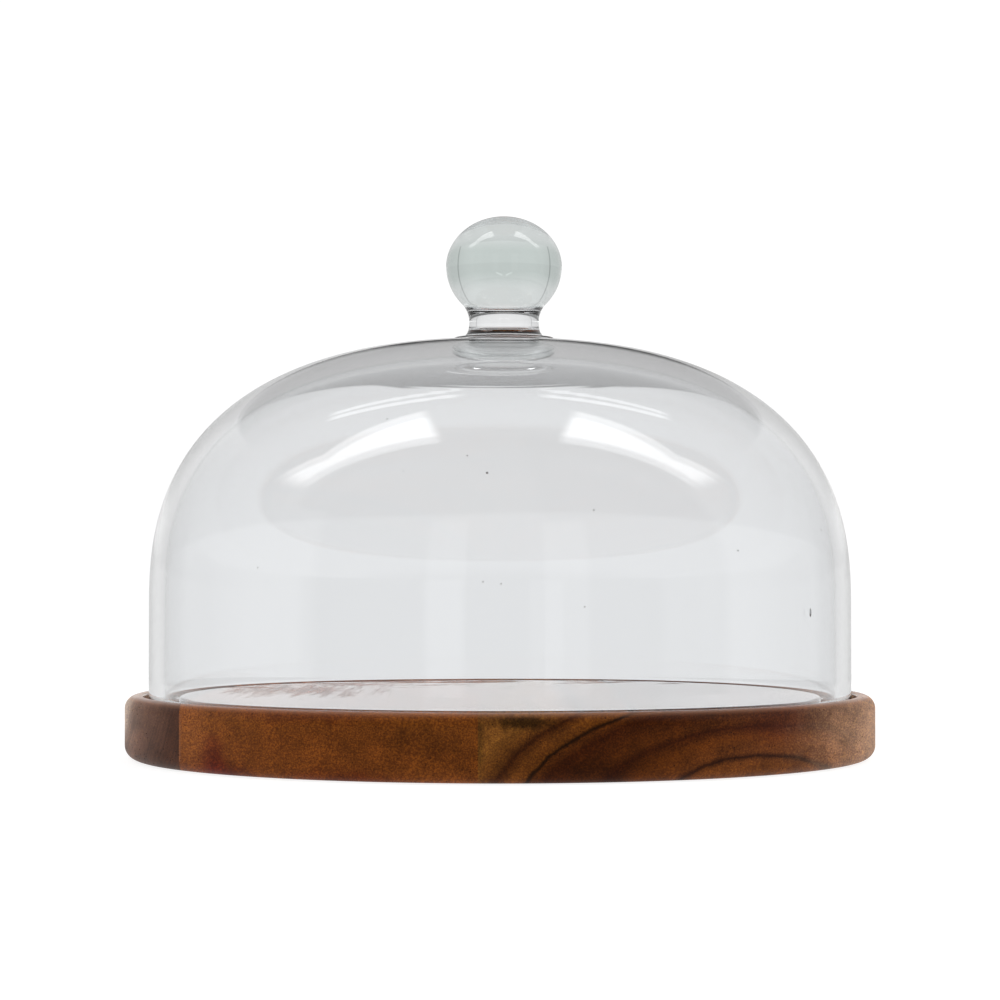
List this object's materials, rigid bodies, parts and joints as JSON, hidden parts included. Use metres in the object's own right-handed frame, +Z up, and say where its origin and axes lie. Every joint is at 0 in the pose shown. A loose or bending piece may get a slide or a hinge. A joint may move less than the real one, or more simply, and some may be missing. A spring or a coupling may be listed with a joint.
{
  "type": "cheese dome",
  "caption": "Clear glass bell cover with a ball knob, standing in the ring groove of a round glued-up hardwood serving board.",
  "frame": {"origin": "centre of the board's flat underside", "axes": "+Z up along the axis of the bell and the board, with the knob 1.6 mm off it towards +X; the staves' grain and glued joints run along Y"},
  "size_m": [0.3, 0.3, 0.2173],
  "materials": {
    "left_stave_wood": "oiled, semi-gloss",
    "middle_stave_wood": "oiled, semi-gloss",
    "right_stave_wood": "oiled, semi-gloss",
    "clear_glass": "clear, fire-polished"
  },
  "bodies": {
    "board": {"left_stave": "left_stave_wood", "middle_stave": "middle_stave_wood", "right_stave": "right_stave_wood"},
    "cover": {"glass_dome": "clear_glass", "glass_knob": "clear_glass"}
  },
  "joints": [
    {"name": "dome_lift", "type": "slide", "parent": "board", "child": "cover", "axis": [0, 0, 1], "range_m": [0, 0.18]}
  ]
}
